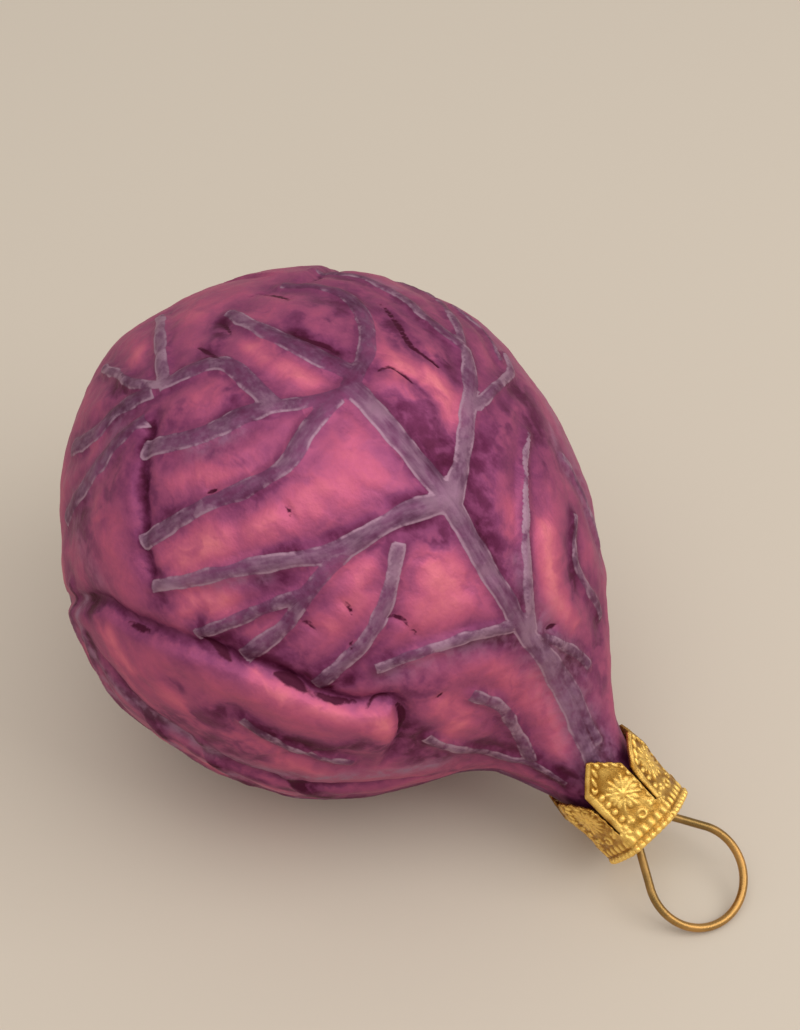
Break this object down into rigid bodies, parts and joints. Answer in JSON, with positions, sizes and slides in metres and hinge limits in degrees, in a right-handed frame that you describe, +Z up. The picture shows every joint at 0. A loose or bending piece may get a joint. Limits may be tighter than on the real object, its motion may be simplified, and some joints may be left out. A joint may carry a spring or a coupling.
{
  "type": "glass ornament",
  "caption": "Blown-glass Christmas ornament shaped like a head of red cabbage with overlapping veined leaves, a narrow neck, a stamped gold crown cap and a wire hanging ring",
  "frame": {"origin": "middle of the bounding box, at the surface it lies on", "axes": "+X is the level heading of the neck toward the hanging ring, +Z is up"},
  "size_m": [0.0846, 0.0574, 0.0567],
  "materials": {
    "lacquered_glass": "silvered blown glass with translucent purple lacquer and painted mauve veins, satin",
    "gold_cap": "thin stamped sheet, gold plated, satin",
    "brass_wire": "drawn wire, bronze tone"
  },
  "bodies": {
    "root": {"glass_body": "lacquered_glass", "metal_cap": "gold_cap", "hanger_wire": "brass_wire"}
  },
  "joints": []
}
